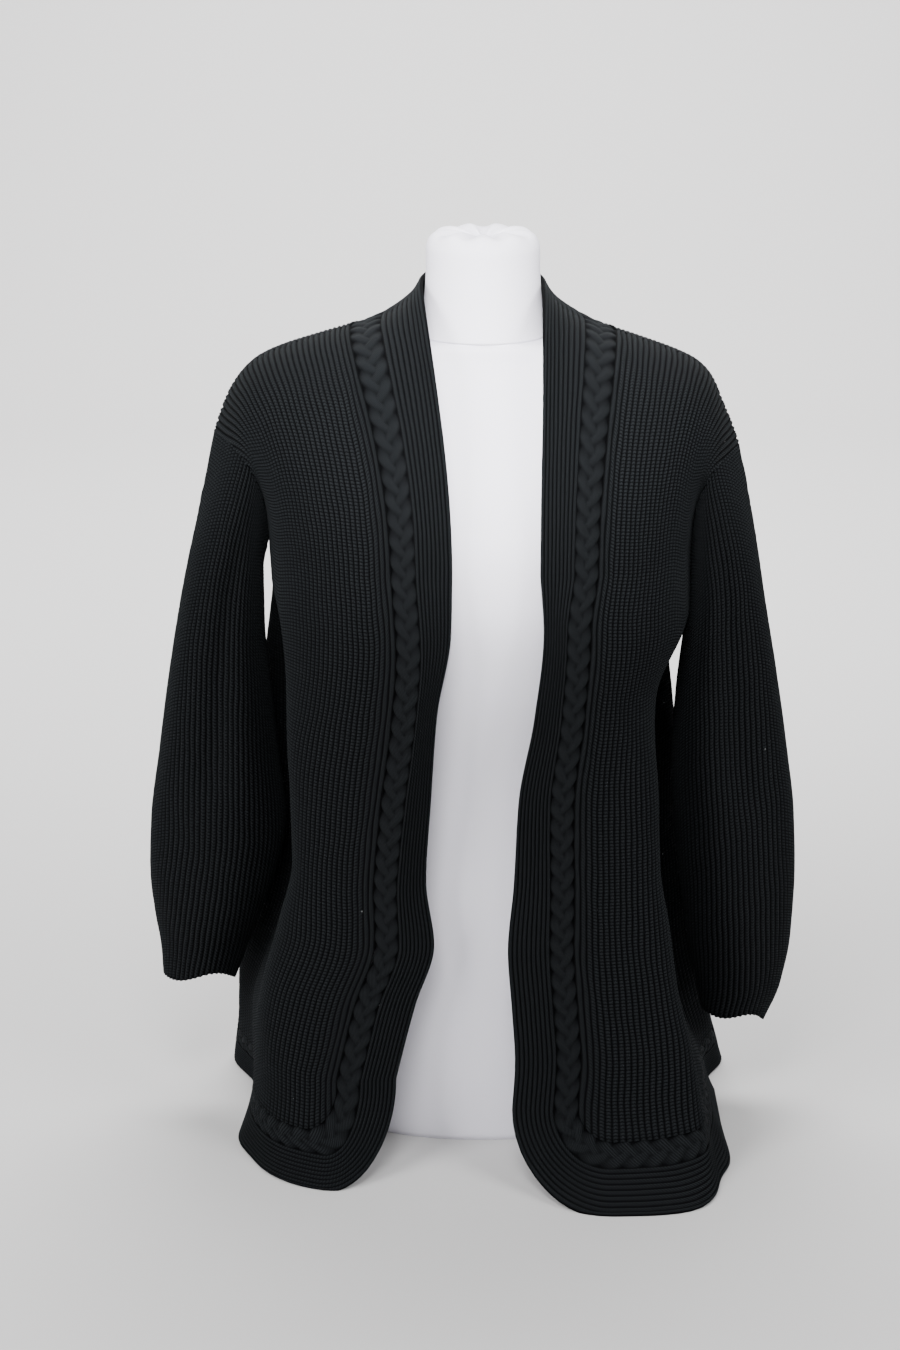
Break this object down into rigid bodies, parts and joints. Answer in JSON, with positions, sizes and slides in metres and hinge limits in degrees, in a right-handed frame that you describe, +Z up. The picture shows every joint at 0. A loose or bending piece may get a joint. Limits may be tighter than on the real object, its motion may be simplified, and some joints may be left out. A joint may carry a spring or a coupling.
{
  "type": "open-front cardigan on a limbless dress form",
  "caption": "Long open-front drop-shoulder rib-knit cardigan with plaited strips along its curved front edges, worn by a limbless dress form.",
  "frame": {"origin": "middle of the dress form's flat base, which stands on z = 0", "axes": "+Z up, the cardigan's front faces -Y, +X towards the wearer's left"},
  "size_m": [0.6269, 0.4152, 0.8645],
  "materials": {
    "black_knit": "matte ribbed knit",
    "white_jersey": "smooth matte jersey"
  },
  "bodies": {
    "root": {"back": "black_knit", "front_right": "black_knit", "front_left": "black_knit", "sleeve_right": "black_knit", "sleeve_left": "black_knit", "border_right": "black_knit", "border_left": "black_knit", "cable_right": "black_knit", "cable_left": "black_knit", "form_torso": "white_jersey", "form_neck": "white_jersey"}
  },
  "joints": []
}
